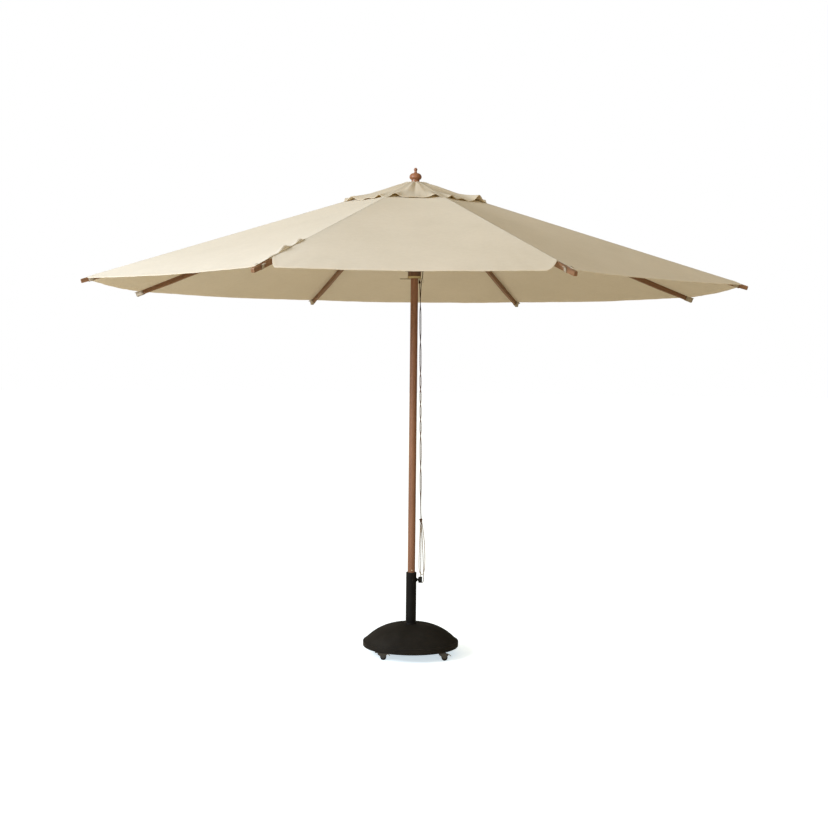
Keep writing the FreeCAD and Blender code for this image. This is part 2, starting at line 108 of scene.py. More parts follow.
def add_studio():
    """A white backdrop to the camera, and a warm sky that is stronger on the left and front."""
    scene = bpy.context.scene
    scene.view_settings.view_transform = "Standard"
    world = bpy.data.worlds.new("studio")
    world.use_nodes = True
    nodes, links = world.node_tree.nodes, world.node_tree.links
    sky = nodes["Background"]
    sky.inputs["Color"].default_value = (1.0, 0.87, 0.65, 1)
    lean = nodes.new("ShaderNodeVectorMath")
    lean.operation = "DOT_PRODUCT"
    links.new(nodes.new("ShaderNodeTexCoord").outputs["Generated"], lean.inputs[0])
    lean.inputs[1].default_value = (-0.40, -0.36, 0)
    level = nodes.new("ShaderNodeMath")
    links.new(lean.outputs["Value"], level.inputs[0])
    level.inputs[1].default_value = 0.60
    links.new(level.outputs[0], sky.inputs["Strength"])
    backdrop = nodes.new("ShaderNodeBackground")
    backdrop.inputs["Color"].default_value = (1, 1, 1, 1)
    rays = nodes.new("ShaderNodeLightPath")
    mix = nodes.new("ShaderNodeMixShader")
    links.new(rays.outputs["Is Camera Ray"], mix.inputs[0])
    links.new(sky.outputs[0], mix.inputs[1])
    links.new(backdrop.outputs[0], mix.inputs[2])
    links.new(mix.outputs[0], nodes["World Output"].inputs[0])
    scene.world = world
    add_softbox("key", (-5.3, -4.0, 3.95), (0, -0.3, 2.2), 2.4, 365, (0.84, 0.95, 1.12))


def add_floor():
    """A white floor that throws less light up at the canopy than it shows."""
    radius, sides = 60, 96
    ring = [(radius * math.cos(math.tau * i / sides), radius * math.sin(math.tau * i / sides), 0)
            for i in range(sides)]
    floor = new_object("floor", ring, [list(range(sides))])
    shade = Shader("floor_paper", Roughness=0.9, Specular_IOR_Level=0.0,
                   Emission_Color=(0.80, 0.92, 1.0, 1), Emission_Strength=0.72)
    tone = shade.noise(shade.coords(), 3.0, 2)
    shade.colour(shade.ramp(tone, (0.3, (0.90, 0.90, 0.90)), (0.7, (0.92, 0.92, 0.92))))
    bounce = shade.node("BsdfDiffuse", {"Color": (0.80, 0.73, 0.60, 1)})
    rays = shade.node("LightPath")
    mix = shade.node("MixShader", {0: rays.outputs["Is Camera Ray"]})
    shade.tree.links.new(bounce.outputs[0], mix.inputs[1])
    shade.tree.links.new(shade.surface.outputs[0], mix.inputs[2])
    shade.tree.links.new(mix.outputs[0], shade.tree.nodes["Material Output"].inputs["Surface"])
    floor.data.materials.append(shade.material)


# ---------------------------------------------------------------- meshes
def new_object(name, points, faces, smooth=True, uvs=None, normals=None):
    """A mesh object. uvs has a pair for each point, and normals one for each face corner."""
    mesh = bpy.data.meshes.new(name)
    mesh.from_pydata([tuple(p) for p in points], [], faces)
    mesh.polygons.foreach_set("use_smooth", [smooth] * len(faces))
    if uvs is not None:
        corner_points = np.zeros(len(mesh.loops), np.int32)
        mesh.loops.foreach_get("vertex_index", corner_points)
        layer = mesh.uv_layers.new(name="cloth")
        layer.data.foreach_set("uv", np.asarray(uvs, np.float32)[corner_points].ravel())
    mesh.update()
    if normals is not None:
        mesh.normals_split_custom_set(normals)
    obj = bpy.data.objects.new(name, mesh)
    bpy.context.scene.collection.objects.link(obj)
    return obj


def lathe(name, outline, sides=48, axis=Vector((0, 0, 1)), at=Vector((0, 0, 0))):
    """Turns (radius, height) points round an axis through a point."""
    turn = axis.normalized().to_track_quat("Z", "Y").to_matrix()
    points, faces = [], []
    for i in range(sides):
        a = math.tau * i / sides
        points += [at + turn @ Vector((r * math.cos(a), r * math.sin(a), h)) for r, h in outline]
    count = len(outline)
    for i in range(sides):
        here, there = i * count, (i + 1) % sides * count
        faces += [(here + k, there + k, there + k + 1, here + k + 1) for k in range(count - 1)]
    return new_object(name, points, faces)


def grid_rim(rows, columns):
    """Indices round the edge of a grid of points, in order."""
    rim = list(range(columns))
    rim += [i * columns + columns - 1 for i in range(1, rows)]
    rim += [(rows - 1) * columns + j for j in range(columns - 2, -1, -1)]
    rim += [i * columns for i in range(rows - 2, 0, -1)]
    return rim


def rib_azimuth(index):
    return FIRST + SECTOR * index


def radial(azimuth):
    return np.array([math.cos(azimuth), math.sin(azimuth), 0.0])


def tangent(azimuth):
    return np.array([-math.sin(azimuth), math.cos(azimuth), 0.0])


def on_rib(azimuth, u, t, v):
    """A point by its place on a rib: out along it from the hinge, beside it, and above it."""
    out = HINGE_R + u * math.cos(SLOPE) + v * math.sin(SLOPE)
    height = HINGE_Z - u * math.sin(SLOPE) + v * math.cos(SLOPE)
    return radial(azimuth) * out + tangent(azimuth) * t + np.array([0, 0, height])


# ---------------------------------------------------------------- cloth
def bump_at(x, centre, width):
    """A smooth bump, 1 at its centre."""
    return np.exp(-((x - centre) / width) ** 2)


def corner_cut(gore, w, beside):
    """How far the cloth's edge is drawn back beside a rib's end, most on the front gore."""
    notch_at_rib = (0.012, 0.012, 0.012, 0.012, 0.058, 0.020, 0.020, 0.058)
    if gore == NEAR_LEFT:
        notch, width = np.where(w < 0.5, 0.185, 0.175), np.where(w < 0.5, 0.100, 0.128)
    else:
        notch = np.where(w < 0.5, notch_at_rib[gore], notch_at_rib[(gore + 1) % RIBS])
        width = 0.040
    return notch * np.clip(1 - beside / width, 0, 1) ** 1.15


def canopy_gore(gore, q, w):
    """Underside of the cloth, for q from the vent to the hem and w from one rib to the next."""
    hem_bow, middle_sag, hem_sag, seam_height, seam_width = 0.004, 0.016, 0.012, 0.0007, 0.009
    half_chord = OUTER * math.sin(SECTOR / 2)
    beside = np.minimum(w, 1 - w) * 2 * half_chord
    edge = OUTER - corner_cut(gore, w, beside) - hem_bow * np.sin(math.pi * w) ** 2
    reach = INNER + q * (edge - INNER)
    left = radial(rib_azimuth(gore))
    right = radial(rib_azimuth(gore + 1))
    points = (1 - w)[..., None] * left + w[..., None] * right
    points = points * reach[..., None]
    points[..., 2] = PANEL_LOW.z + RISE * (OUTER - reach)

    span = 4 * w * (1 - w)
    sag = -middle_sag * span ** 1.2 * np.sin(math.pi * np.clip(q, 0, 1) ** 0.8)
    sag -= hem_sag * span * q ** 3
    metres = reach * 2 * math.sin(SECTOR / 2)
    side = w * metres
    ripple = 0.0010 * np.sin(side * 7.0 + gore * 1.7 + 2.2 * np.sin(reach * 3.1 + gore))
    ripple += 0.0004 * np.sin(side * 19.0 + 3.0 * np.sin(reach * 5.0 + 2.0 * gore))
    fan = 0.0005 * np.sin(30 * w * (1 - w) * 4 + gore) * bump_at(q, 1.0, 0.16)
    lift = sag + (ripple + fan) * np.minimum(1, span * 2.2)
    near_seam = np.minimum(side, metres - side)
    lift += seam_height * np.clip(1 - near_seam / seam_width, 0, 1) ** 0.5
    if gore == (NEAR_LEFT - 1) % RIBS:
        lift += loose_seam(reach, metres - side)
    if gore == NEAR_LEFT:
        lift -= 0.0012 * bump_at(reach, 1.66, 0.14) * bump_at(side, 0.05, 0.03)
    up = np.array([0.0, 0.0, 1.0])
    return points + lift[..., None] * up


def loose_seam(reach, beside):
    """Cloth that stands up beside the near left seam, where it was sewn with too much length."""
    height = 0.026
    wave = 0.62 + 0.38 * np.sin((reach - 1.45) * 36)
    stretch = bump_at(reach, 1.70, 0.115) + 0.75 * bump_at(reach, 1.53, 0.055)
    roll = bump_at(beside, 0.014, 0.017)
    return height * stretch * wave * roll


def cap_gore(gore, q, w):
    """Underside of the vent's cap: pleats from the finial, and a hem that lifts by the ribs."""
    hem_bow = 0.012
    lifts = ((0.018, 0.014), (0.022, 0.016), (0.015, 0.024), (0.020, 0.022),
             (0.022, 0.017), (0.021, 0.018), (0.017, 0.040), (0.021, 0.019))
    reach = CAP_INNER + q * (CAP_OUTER - CAP_INNER)
    reach = reach - hem_bow * np.sin(math.pi * w) * q
    return cap_point(gore, reach, w, lifts[gore])


def cap_point(gore, reach, w, lifts):
    """Points on the cap's underside. lifts is how high the hem stands by each of two ribs."""
    left = radial(rib_azimuth(gore))
    right = radial(rib_azimuth(gore + 1))
    points = ((1 - w)[..., None] * left + w[..., None] * right) * reach[..., None]
    fall = (CAP_HIGH.z - CAP_LOW.z - FABRIC) / (CAP_OUTER - CAP_INNER)
    share = np.clip((reach - CAP_INNER) / (CAP_OUTER - CAP_INNER), 0, 1)
    height = CAP_HIGH.z - FABRIC - fall * np.maximum(reach - CAP_INNER, 0)
    loose = np.clip((reach - 0.02) / 0.12, 0, 1) * (1 - 0.35 * share)
    drift = 0.10 * share * math.sin(gore * 2.3 + 1)
    size = 0.55 + 0.30 * math.sin(gore * 3.7 + 0.6)
    pleat = 0.0100 * size * bump_at(w, 0.30 + drift, 0.085)
    pleat += 0.0080 * (1.1 - size) * bump_at(w, 0.70 + drift, 0.080)
    pleat -= 0.0045 * bump_at(w, 0.49 + drift, 0.060)
    lift = loose * pleat
    flare = np.clip((share - 0.48) / 0.52, 0, 1) ** 1.7
    lift += flare * (lifts[0] * bump_at(w, 0.16, 0.075) + lifts[1] * bump_at(w, 0.84, 0.075))
    lift += flare * 0.004 * np.sin(w * 19 + gore) * np.sin(math.pi * w)
    points[..., 2] = height + lift
    return points


def cloth_half(name, surface, gore, first_half, rows, columns, hem):
    """Half a gore as a thin closed shell, whose normals match the other half's.

    hem is the thickness of the turned hem, as a share of the canopy's.
    """
    step, hem_edge, below, hem_above, hem_below = 0.002, 0.004, 0.0001, 0.0009, 0.0006
    q = np.linspace(0, 1, rows) ** 0.9
    fine = np.linspace(0, 1, columns) ** 1.35 * 0.5
    w = fine if first_half else 1 - fine[::-1]
    grid_q, grid_w = np.meshgrid(q, w, indexing="ij")
    centre = surface(gore, grid_q, grid_w)
    q_low, q_high = np.maximum(grid_q - step, 0), np.minimum(grid_q + step, 1)
    w_low, w_high = np.maximum(grid_w - step, 0), np.minimum(grid_w + step, 1)
    along = surface(gore, q_high, grid_w) - surface(gore, q_low, grid_w)
    across = surface(gore, grid_q, w_high) - surface(gore, grid_q, w_low)
    normal = np.cross(along, across)
    normal /= np.linalg.norm(normal, axis=-1, keepdims=True)

    edge = surface(gore, np.ones_like(grid_q), grid_w)
    from_hem = np.linalg.norm(centre - edge, axis=-1)
    doubled = np.clip((HEM_WIDTH - from_hem) / hem_edge, 0, 1) * hem
    top = centre + normal * (SHELL + hem_above * doubled)[..., None]
    bottom = centre + normal * (below - hem_below * doubled)[..., None]
    rim_w = grid_w if first_half else 1 - grid_w
    reach = np.linalg.norm(centre[..., :2], axis=-1)
    beside = rim_w * 2 * math.sin(SECTOR / 2) * reach * (1 if first_half else -1)
    uv = np.stack([beside, from_hem], axis=-1).reshape(-1, 2)

    count = rows * columns
    points = np.concatenate([top.reshape(-1, 3), bottom.reshape(-1, 3)])
    flat_normals = normal.reshape(-1, 3)
    faces, normals = [], []
    for i in range(rows - 1):
        for j in range(columns - 1):
            a, b = i * columns + j, i * columns + j + 1
            c, d = b + columns, a + columns
            faces.append((a, d, c, b))
            normals += [flat_normals[k] for k in (a, d, c, b)]
            faces.append(tuple(k + count for k in (a, b, c, d)))
            normals += [-flat_normals[k] for k in (a, b, c, d)]
    rim = grid_rim(rows, columns)
    for a, b in zip(rim, rim[1:] + rim[:1]):
        faces.append((a, b, b + count, a + count))
        flat = np.cross(points[b] - points[a], points[a + count] - points[a])
        flat /= max(np.linalg.norm(flat), 1e-12)
        normals += [flat] * 4
    return new_object(name, points, faces, uvs=np.concatenate([uv, uv]),
                      normals=[tuple(n) for n in normals])


def fold_up(piece):
    """Gives half a gore a mesh of its own.
    """
    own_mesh(piece)


def half_name(layer, rib, first_half):
    return f"{layer}_{rib + 1}_{'left' if first_half else 'right'}"


def cloth_halves(layer):
    """The halves of a cloth layer: each one's rib, which half it is, its gore and its name."""
    for rib in range(RIBS):
        for first_half in (True, False):
            gore = rib if first_half else (rib - 1) % RIBS
            yield rib, first_half, gore, half_name(layer, rib, first_half)


def add_canopy(cloth):
    for rib, first_half, gore, name in cloth_halves("canopy"):
        piece = cloth_half(name, canopy_gore, gore, first_half, rows=84, columns=34, hem=1.0)
        piece.data.materials.append(cloth)
        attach(piece, f"rib_{rib + 1}")
        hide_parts(f"canopy_panel_{rib + 1}")
        fold_up(piece)


def add_cap(cloth):
    for rib, first_half, gore, name in cloth_halves("vent_cap"):
        piece = cloth_half(name, cap_gore, gore, first_half, rows=40, columns=26, hem=0.8)
        piece.data.materials.append(cloth)
        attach(piece, f"rib_{rib + 1}")
        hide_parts("vent_cap")
        fold_up(piece)


def add_cap_patch(cloth):
    """Round patch sewn over the middle of the cap, under the finial's flange."""
    rings, sides, over, under = 16, 16 * RIBS, 0.0034, 0.0022
    rows = []
    for k in range(rings):
        reach = SPIGOT_R + (PATCH_R - SPIGOT_R) * k / (rings - 1)
        row = []
        for i in range(sides):
            gore, w = divmod(i / sides * RIBS, 1)
            chord = math.cos(SECTOR / 2) / math.cos((w - 0.5) * SECTOR)
            row.append(cap_point(int(gore), np.array([reach / chord ** 0.5]), np.array([w]),
                                 (0, 0))[0])
        rows.append(row)
    middle = np.array(rows)
    up = np.array([0, 0, 1.0])
    top, bottom = middle + up * over, middle + up * under
    points = np.concatenate([top.reshape(-1, 3), bottom.reshape(-1, 3)])
    count = rings * sides
    faces = []
    for k in range(rings - 1):
        for i in range(sides):
            a, b = k * sides + i, k * sides + (i + 1) % sides
            c, d = b + sides, a + sides
            faces.append((a, d, c, b))
            faces.append((a + count, b + count, c + count, d + count))
    for i in range(sides):
        j = (i + 1) % sides
        faces.append((i, j, j + count, i + count))
        outer, after = (rings - 1) * sides + i, (rings - 1) * sides + j
        faces.append((outer, outer + count, after + count, after))
    distance = np.linalg.norm(middle[..., :2], axis=-1)
    spin = np.tile(np.linspace(0, 0.6, sides), (rings, 1))
    uv = np.stack([spin + 0.05, PATCH_R - distance], axis=-1).reshape(-1, 2)
    patch = new_object("cap_patch", points, faces, uvs=np.concatenate([uv, uv]))
    patch.data.materials.append(cloth)
    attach(patch, "pole")
    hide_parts("vent_cap")


def add_seam_tape(cloth):
    """Tape sewn under each seam, which lies on the rib."""
    half, low, high = 0.0098, RIB_TOP + 0.0002, RIB_TOP + 0.0008
    stations = np.linspace(0.27, 1.86, 60)
    for rib in range(RIBS):
        azimuth = rib_azimuth(rib)
        points, faces, uv = [], [], []
        for k, u in enumerate(stations):
            swell = 0.0003 * math.sin(u * 31 + rib)
            for t, v in ((-half, low), (half, low), (half + swell, high), (-half + swell, high)):
                points.append(on_rib(azimuth, u, t, v))
                uv.append((t, u))
            if k:
                a, b = 4 * (k - 1), 4 * k
                faces += [(a + i, a + (i + 1) % 4, b + (i + 1) % 4, b + i) for i in range(4)]
        last = 4 * (len(stations) - 1)
        faces += [(3, 2, 1, 0), (last, last + 1, last + 2, last + 3)]
        tape = new_object(f"seam_tape_{rib + 1}", points, faces, smooth=False, uvs=uv)
        tape.data.materials.append(cloth)
        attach(tape, f"rib_{rib + 1}")


def add_corner_straps(cloth):
    """The sewn loop of cloth that each rib's end sits in: a closed pocket or an open strap."""
    loops = ((2.006, 0.052), (2.006, 0.050), (2.006, 0.052), (2.006, 0.055),
             (1.958, 0.030), (1.930, 0.026), (1.925, 0.026), (1.952, 0.032))
    for rib, (end, length) in enumerate(loops):
        sewn_loop(rib, (end - HINGE_R - 0.003) / math.cos(SLOPE), length, end > 2, cloth)


def sewn_loop(rib, end, length, closed, cloth):
    """A band round three sides of a rib, with a tab sewn to the canopy on each side."""
    thick, half, top = 0.0013, 0.0095, RIB_TOP + 0.0004
    tab, bend, corners = 0.017, 0.003, 5
    azimuth = rib_azimuth(rib)
    stations = [end - length, end - length * 0.66, end - length * 0.33, end]
    rows = []
    for k, u in enumerate(stations):
        under = -0.0125 + 0.0067 * min(1, max(0, (u - 1.73) / 0.3))
        pinch = 0.0006 * (k % 2)
        low = under - 0.0009 - pinch
        path = [(-half - tab, top), (-half - 0.004, top - 0.0006)]
        for i in range(corners):
            a = math.pi / 2 * i / (corners - 1)
            path.append((-half - 0.0006 + bend * (1 - math.cos(a)),
                         low + bend * (1 - math.sin(a))))
        path += [(-t, v) for t, v in reversed(path)]
        rows.append([(u, t, v) for t, v in path])
    count = len(rows[0])
    points, faces, uv = [], [], []
    for inset in (0, thick):
        for row in rows:
            for k, (u, t, v) in enumerate(row):
                before, after = row[max(k - 1, 0)], row[min(k + 1, count - 1)]
                run = Vector((after[1] - before[1], after[2] - before[2])).normalized()
                points.append(on_rib(azimuth, u, t + run.y * inset, v - run.x * inset))
                uv.append((0.3 + u, 0.05 + 0.01 * k))
    layer = len(rows) * count
    for r in range(len(rows) - 1):
        for k in range(count - 1):
            a, b = r * count + k, r * count + k + 1
            faces.append((a, b, b + count, a + count))
            faces.append((a + layer, a + count + layer, b + count + layer, b + layer))
    rim = grid_rim(len(rows), count)
    faces += [(b, a, a + layer, b + layer) for a, b in zip(rim, rim[1:] + rim[:1])]
    if closed:
        last = (len(rows) - 1) * count
        mouth = [last + k for k in range(1, count - 1)]
        centre = len(points)
        points.append(on_rib(azimuth, end + 0.003, 0, 0.006))
        uv.append((0.3 + end, 0.1))
        faces += [(a, b, centre) for a, b in zip(mouth, mouth[1:] + mouth[:1])]
    strap = new_object(f"corner_strap_{rib + 1}", points, faces, uvs=uv)
    strap.data.materials.append(cloth)
    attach(strap, f"rib_{rib + 1}")


# ---------------------------------------------------------------- rope
ROPE_D = 0.005
RUN_TOP, TOP_OF_LOOPS = 2.238, 0.856   # heights of the ends of the two twisted runs
RUN_X, RUN_LEAN = 0.0368, 0.0172       # their distance from the pole's axis, and how it grows
CROSSINGS = (2.16, 1.93, 1.73, 1.635, 1.545, 1.45, 1.355, 1.16, 0.97)
ROPE_DOWN = [
    (0.0305, 0.0125, 2.293), (0.0305, 0.0125, 2.420), (0.0325, 0, 2.806), (0.0325, 0, 2.839),
    (0.0505, 0, 2.839), (0.0505, 0, 2.806), (0.0505, 0.006, 2.410), (0.0505, 0.006, 2.350),
    (0.050, 0.011, 2.314), (0.042, 0.010, 2.284), (0.040, -0.002, 2.238),
]
ROPE_LOOPS = [
    (0.054, -0.004, 0.856), (0.066, -0.005, 0.792), (0.078, -0.006, 0.700),
    (0.083, -0.006, 0.600), (0.082, -0.006, 0.530), (0.074, -0.006, 0.493),
    (0.056, -0.006, 0.493), (0.047, -0.006, 0.520), (0.046, -0.006, 0.580),
    (0.048, -0.007, 0.670), (0.052, -0.008, 0.770), (0.050, -0.007, 0.826),
    (0.058, 0.006, 0.826), (0.056, 0.016, 0.775), (0.057, 0.025, 0.680), (0.058, 0.028, 0.560),
    (0.058, 0.029, 0.480), (0.060, 0.029, 0.437), (0.075, 0.029, 0.437), (0.076, 0.029, 0.480),
    (0.073, 0.028, 0.560), (0.067, 0.022, 0.680), (0.060, 0.011, 0.780),
    (0.054, 0.0035, 0.856),
]
ROPE_END = [(0.0335, 0.004, 2.238), (0.032, 0.004, 2.286)]


def twisted_run(side):
    """Points of one of the two hanging runs, which cross in front of and behind each other."""
    gap_x, gap_y, spread = 0.0008, 0.0034, 0.0035

    def share_down(z):
        return (RUN_TOP - z) / (RUN_TOP - TOP_OF_LOOPS)

    points = []
    for k, z in enumerate(CROSSINGS):
        x, y = RUN_X + share_down(z) * RUN_LEAN, 0.001 - share_down(z) * 0.001
        front = side * (-1) ** k
        points.append((x - front * gap_x, y - front * gap_y, z))
        if k < len(CROSSINGS) - 1:
            for part in (0.22, 0.50, 0.78):
                between = z + part * (CROSSINGS[k + 1] - z)
                x = RUN_X + share_down(between) * RUN_LEAN
                points.append((x + front * spread, y, between))
    return points


def rope_route():
    return (ROPE_DOWN + twisted_run(1) + ROPE_LOOPS
            + twisted_run(-1)[::-1] + ROPE_END)


def spline_line(points, resolution):
    """The smooth line of a NURBS spline through control points, as an array of points."""
    data = bpy.data.curves.new("line", "CURVE")
    data.dimensions = "3D"
    spline = data.splines.new("NURBS")
    spline.points.add(len(points) - 1)
    for point, place in zip(spline.points, points):
        point.co = (*place, 1)
    spline.order_u = 3
    spline.use_endpoint_u = True
    spline.resolution_u = resolution
    curve = bpy.data.objects.new("line", data)
    bpy.context.scene.collection.objects.link(curve)
    bpy.context.view_layer.update()
    mesh = bpy.data.meshes.new_from_object(
        curve.evaluated_get(bpy.context.evaluated_depsgraph_get()))
    line = np.array([v.co for v in mesh.vertices])
    bpy.data.objects.remove(curve)
    bpy.data.meshes.remove(mesh)
    return line


def even_line(line, step):
    """Points at even steps along a line, and how far along it each one is."""
    lengths = np.concatenate([[0], np.cumsum(np.linalg.norm(np.diff(line, axis=0), axis=1))])
    places = np.linspace(0, lengths[-1], max(4, int(lengths[-1] / step) + 1))
    return np.stack([np.interp(places, lengths, line[:, k]) for k in range(3)], axis=1), places


def laid_rope(name, line, step=0.0022, sides=6, closed=False):
    """Three strands laid round a line, as one mesh. Its uvs run round and along a strand."""
    centre, places = even_line(line, step)
    strand, offset, pitch = ROPE_D / 2 * 0.50, ROPE_D / 2 * 0.58, 0.021
    count = len(centre)
    along = np.gradient(centre, axis=0)
    along /= np.linalg.norm(along, axis=1, keepdims=True)
    side = np.cross(along[0], (0.3, 1.0, 0.2))
    side /= np.linalg.norm(side)
    sides_of_line = []
    for k in range(count):
        side = side - along[k] * (side @ along[k])
        side /= np.linalg.norm(side)
        sides_of_line.append(side)
    first = np.array(sides_of_line)
    second = np.cross(along, first)
    points, faces, uv = [], [], []
    for s in range(3):
        turn = math.tau * (places / pitch + s / 3)
        out = np.cos(turn)[:, None] * first + np.sin(turn)[:, None] * second
        core = centre + offset * out
        over = np.cross(along, out)
        base = len(points)
        for k in range(count):
            for i in range(sides):
                a = math.tau * i / sides
                points.append(core[k] + strand * (math.cos(a) * out[k] + math.sin(a) * over[k]))
                uv.append((i / sides + s, places[k]))
        for k in range(count - 1):
            for i in range(sides):
                a, b = base + k * sides + i, base + k * sides + (i + 1) % sides
                faces.append((a, b, b + sides, a + sides))
        if not closed:
            last = base + (count - 1) * sides
            faces.append(tuple(base + i for i in range(sides - 1, -1, -1)))
            faces.append(tuple(last + i for i in range(sides)))
    return new_object(name, points, faces, uvs=uv), centre


def knot(name, at, size, turn, shade):
    """An overhand knot pulled up tight."""
    points = []
    steps = 25
    for k in range(steps + 1):
        a = math.tau * k / steps * 0.97
        points.append(Vector((math.sin(a) + 2 * math.sin(2 * a), math.cos(a) - 2 * math.cos(2 * a),
                              -1.25 * math.sin(3 * a))) * (size / 6))
    rotated = [at + Matrix.Rotation(turn, 3, "Z") @ Matrix.Rotation(1.35, 3, "X") @ p
               for p in points]
    piece, _ = laid_rope(name, spline_line([tuple(p) for p in rotated], 8), 0.0014)
    piece.data.materials.append(shade)
    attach(piece, "pole")
    return piece


def add_rope(shade):
    line = spline_line(rope_route(), 16)
    rope, centre = laid_rope("hoist_line", line)
    rope.data.materials.append(shade)
    knots = [knot("loop_knot", Vector((0.0555, 0.0005, 0.828)), 0.020, 0.4, shade),
             knot("runner_knot", Vector((0.0305, 0.0125, 2.2915)), 0.013, 1.1, shade),
             knot("end_knot", Vector((0.032, 0.004, 2.282)), 0.013, 2.2, shade)]
    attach(rope, "pole")
    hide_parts("hoist_rope")


# ---------------------------------------------------------------- materials
class Shader:
    """A material's node tree, with short calls for the nodes that the finishes share."""

    def __init__(self, name, **sockets):
        self.material = bpy.data.materials.new(name)
        self.material.use_nodes = True
        self.tree = self.material.node_tree
        self.surface = self.tree.nodes["Principled BSDF"]
        for socket, value in sockets.items():
            self.surface.inputs[socket.replace("_", " ")].default_value = value

    def node(self, kind, inputs=(), **settings):
        node = self.tree.nodes.new("ShaderNode" + kind)
        for key, value in settings.items():
            setattr(node, key, value)
        for key, value in dict(inputs).items():
            if isinstance(value, bpy.types.NodeSocket):
                self.tree.links.new(value, node.inputs[key])
            else:
                node.inputs[key].default_value = value
        return node

    def coords(self, kind="Object"):
        return self.node("TexCoord").outputs[kind]

    def moved(self, vector, scale=(1, 1, 1), rotation=(0, 0, 0), place=(0, 0, 0)):
        return self.node("Mapping", {"Vector": vector, "Scale": scale, "Rotation": rotation,
                                     "Location": place}).outputs[0]

    def noise(self, vector, scale, detail=4.0, roughness=0.55, distortion=0.0):
        return self.node("TexNoise", {"Vector": vector, "Scale": scale, "Detail": detail,
                                      "Roughness": roughness,
                                      "Distortion": distortion}).outputs["Fac"]

    def wave(self, vector, scale, distortion=0.0, direction="X"):
        return self.node("TexWave", {"Vector": vector, "Scale": scale,
                                     "Distortion": distortion},
                         bands_direction=direction).outputs["Fac"]

    def ramp(self, fac, *stops):
        node = self.node("ValToRGB", {"Fac": fac})
        elements = node.color_ramp.elements
        while len(elements) < len(stops):
            elements.new(0.5)
        for element, (place, colour) in zip(elements, stops):
            element.position = place
            element.color = (*colour, 1)
        return node.outputs["Color"]

    def maths(self, operation, a, b=0.0):
        return self.node("Math", {0: a, 1: b}, operation=operation).outputs[0]

    def split(self, vector):
        return self.node("SeparateXYZ", {0: vector}).outputs

    def blend(self, fac, a, b, kind="MIX"):
        node = self.node("MixRGB", {"Fac": fac, "Color1": a, "Color2": b}, blend_type=kind)
        return node.outputs["Color"]

    def colour(self, socket):
        self.tree.links.new(socket, self.surface.inputs["Base Color"])

    def roughness(self, fac, low, high):
        value = self.node("MapRange", {"Value": fac, "To Min": low, "To Max": high}).outputs[0]
        self.tree.links.new(value, self.surface.inputs["Roughness"])

    def bump(self, height, strength, distance):
        """Adds to the bumps that the surface already has."""
        inputs = {"Height": height, "Strength": strength, "Distance": distance}
        target = self.surface.inputs["Normal"]
        if target.is_linked:
            inputs["Normal"] = target.links[0].from_socket
        self.tree.links.new(self.node("Bump", inputs).outputs[0], target)


def band(shade, value, centre, half, soft):
    """1 near a value and 0 away from it."""
    off = shade.maths("ABSOLUTE", shade.maths("SUBTRACT", value, centre))
    node = shade.node("MapRange", {"Value": off, "From Min": half, "From Max": half + soft,
                                   "To Min": 1.0, "To Max": 0.0})
    return node.outputs[0]


